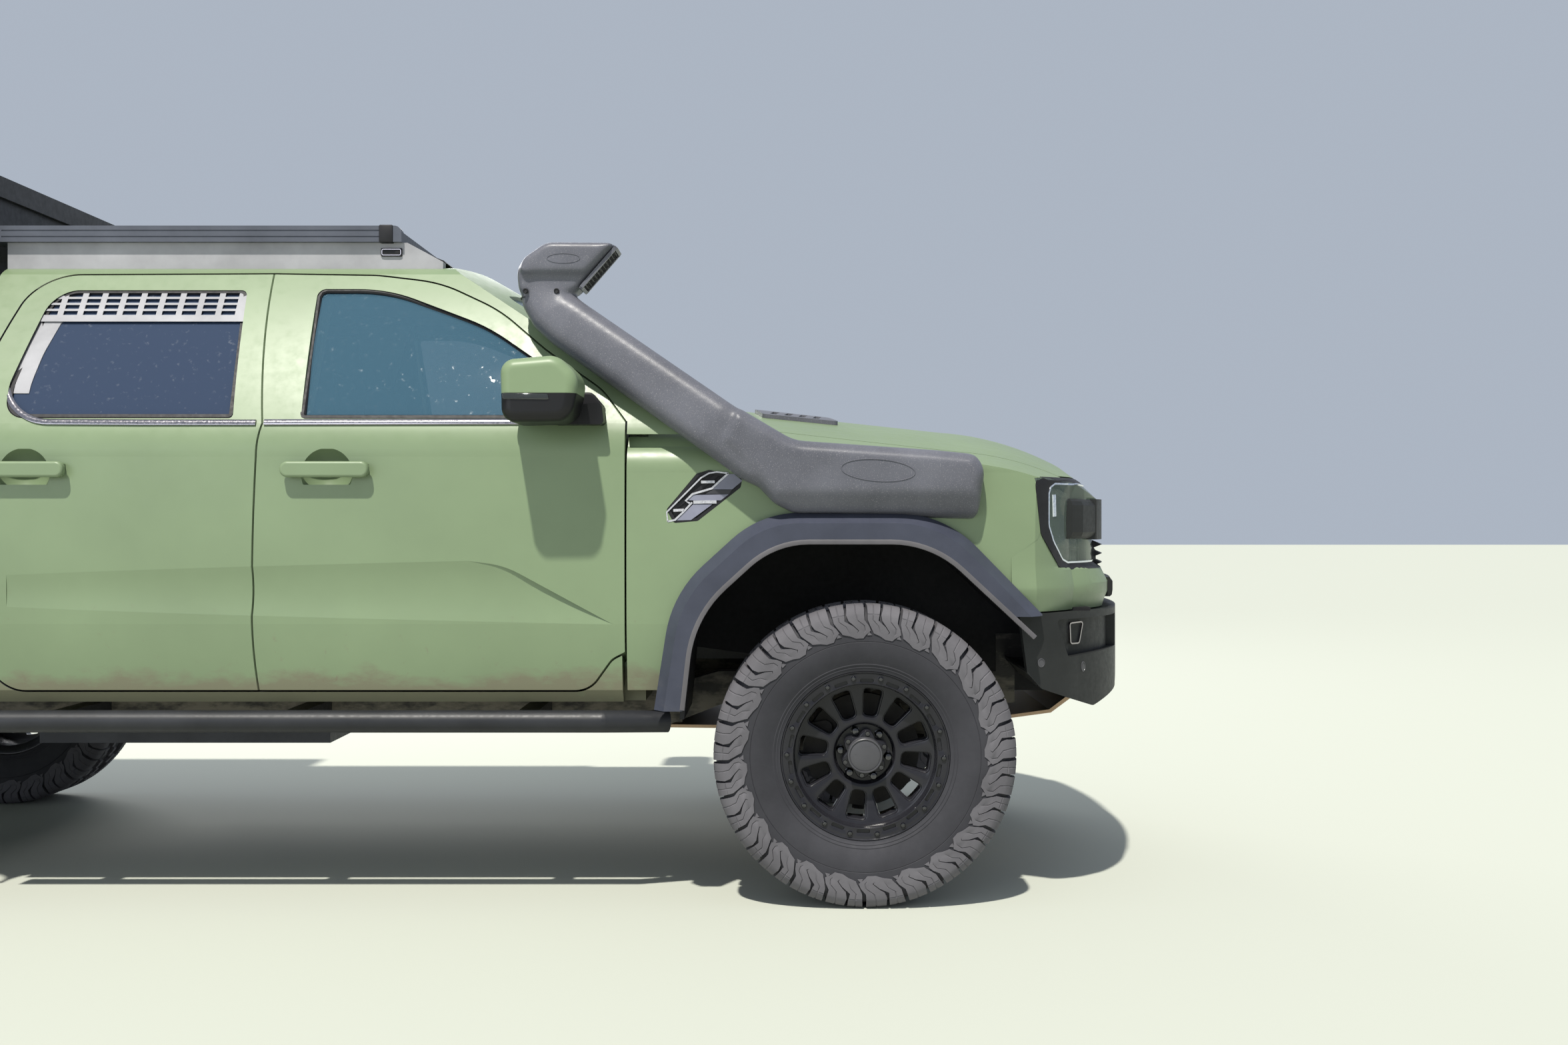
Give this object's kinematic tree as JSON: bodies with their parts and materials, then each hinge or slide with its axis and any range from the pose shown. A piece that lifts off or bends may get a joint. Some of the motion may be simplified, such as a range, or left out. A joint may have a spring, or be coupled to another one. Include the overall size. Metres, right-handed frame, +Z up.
{
  "type": "lifted double-cab off-road pickup",
  "caption": "Lifted four-door off-road pickup with load-bed canopy, roof rack, snorkel, rock sliders and wide arch flares; doors, bonnet, tailgate, hatch, steering and wheels move.",
  "frame": {"origin": "on the floor below the middle of the vehicle's box", "axes": "+X forward, +Y to the vehicle's left, +Z up"},
  "size_m": [5.346, 2.34, 2.2015],
  "materials": {
    "body_paint": "satin olive green with road dirt low down",
    "black_plastic": "moulded, fine grain",
    "black_paint": "satin black powder coat",
    "frame_paint": "chassis black with dust",
    "clear_glass": "clear, slightly tinted",
    "dark_glass": "privacy tint",
    "lamp": "clear lens over bright reflector",
    "tail_red": "red lens",
    "rim_black": "satin black",
    "tyre": "dusty all-terrain rubber",
    "metal_grey": "silver anodised",
    "bronze_plate": "brushed plate with a warm reflection",
    "cast": "rough casting, dusty",
    "engine_block": "plain block",
    "steel": "dull steel",
    "cabin_plastic": "grained",
    "seat_cloth": "dark cloth"
  },
  "bodies": {
    "root": {"cab_shell": "body_paint", "windscreen": "clear_glass", "rear_screen": "dark_glass", "fenders": "body_paint", "upper_bumper": "body_paint", "headlamps": "lamp", "grille": "black_plastic", "front_bumper": "black_plastic", "wheel_flares": "black_plastic", "load_bed": "body_paint", "tail_lamps": "tail_red", "rear_bumper": "black_paint", "canopy": "black_paint", "canopy_glass": "dark_glass", "roof_rack": "black_paint", "rack_feet": "metal_grey", "rack_deflector": "black_plastic", "snorkel": "black_plastic", "rock_sliders": "black_paint", "chassis": "frame_paint", "skid_plate": "bronze_plate", "engine": "engine_block", "fuel_tank": "black_plastic", "exhaust": "steel", "dashboard": "cabin_plastic", "seats": "seat_cloth", "suspension": "cast", "rear_axle": "cast", "arch_liners": "black_plastic", "fender_vents": "black_plastic"},
    "front_door_right_body": {"front_door_right": "body_paint", "front_glass_right": "clear_glass", "mirror_right": "black_plastic"},
    "rear_door_right_body": {"rear_door_right": "body_paint", "rear_glass_right": "dark_glass", "quarter_vent_right": "metal_grey"},
    "front_door_left_body": {"front_door_left": "body_paint", "front_glass_left": "clear_glass", "mirror_left": "black_plastic"},
    "rear_door_left_body": {"rear_door_left": "body_paint", "rear_glass_left": "dark_glass", "quarter_vent_left": "metal_grey"},
    "bonnet_body": {"bonnet": "body_paint", "bonnet_vents": "black_plastic"},
    "tailgate_body": {"tailgate": "body_paint"},
    "hatch_body": {"canopy_hatch": "black_paint", "hatch_glass": "dark_glass"},
    "steer_left": {"knuckle_left": "cast"},
    "wheel_front_left": {"rim_front_left": "rim_black", "tyre_front_left": "tyre"},
    "wheel_rear_left": {"rim_rear_left": "rim_black", "tyre_rear_left": "tyre"},
    "steer_right": {"knuckle_right": "cast"},
    "wheel_front_right": {"rim_front_right": "rim_black", "tyre_front_right": "tyre"},
    "wheel_rear_right": {"rim_rear_right": "rim_black", "tyre_rear_right": "tyre"}
  },
  "joints": [
    {"name": "front_door_right_hinge", "type": "hinge", "parent": "root", "child": "front_door_right_body", "pos_m": [1.109, -0.952, 1], "axis": [0, 0, 1], "range_deg": [0, 65]},
    {"name": "rear_door_right_hinge", "type": "hinge", "parent": "root", "child": "rear_door_right_body", "pos_m": [0.045, -0.952, 1], "axis": [0, 0, 1], "range_deg": [0, 65]},
    {"name": "front_door_left_hinge", "type": "hinge", "parent": "root", "child": "front_door_left_body", "pos_m": [1.109, 0.952, 1], "axis": [0, 0, -1], "range_deg": [0, 65]},
    {"name": "rear_door_left_hinge", "type": "hinge", "parent": "root", "child": "rear_door_left_body", "pos_m": [0.045, 0.952, 1], "axis": [0, 0, -1], "range_deg": [0, 65]},
    {"name": "bonnet_hinge", "type": "hinge", "parent": "root", "child": "bonnet_body", "pos_m": [1.163, 0, 1.4515], "axis": [0, -1, 0], "range_deg": [0, 50]},
    {"name": "tailgate_hinge", "type": "hinge", "parent": "root", "child": "tailgate_body", "pos_m": [-2.552, 0, 0.9015], "axis": [0, -1, 0], "range_deg": [0, 90]},
    {"name": "hatch_hinge", "type": "hinge", "parent": "root", "child": "hatch_body", "pos_m": [-2.602, 0, 2.1015], "axis": [0, 1, 0], "range_deg": [0, 80]},
    {"name": "steer_left_pivot", "type": "hinge", "parent": "root", "child": "steer_left", "pos_m": [1.803, 0.77, 0.4365], "axis": [0, 0, 1], "range_deg": [-30, 30]},
    {"name": "steer_right_pivot", "type": "hinge", "parent": "root", "child": "steer_right", "pos_m": [1.803, -0.77, 0.4365], "axis": [0, 0, 1], "range_deg": [-30, 30]},
    {"name": "wheel_front_left_spin", "type": "hinge", "parent": "steer_left", "child": "wheel_front_left", "pos_m": [1.803, 0.855, 0.4365], "axis": [0, 1, 0], "continuous": true},
    {"name": "wheel_rear_left_spin", "type": "hinge", "parent": "root", "child": "wheel_rear_left", "pos_m": [-1.467, 0.855, 0.4365], "axis": [0, 1, 0], "continuous": true},
    {"name": "wheel_front_right_spin", "type": "hinge", "parent": "steer_right", "child": "wheel_front_right", "pos_m": [1.803, -0.855, 0.4365], "axis": [0, 1, 0], "continuous": true},
    {"name": "wheel_rear_right_spin", "type": "hinge", "parent": "root", "child": "wheel_rear_right", "pos_m": [-1.467, -0.855, 0.4365], "axis": [0, 1, 0], "continuous": true}
  ],
  "couplings": [
    {"joint": "steer_right_pivot", "follows": "steer_left_pivot", "ratio": 1}
  ]
}
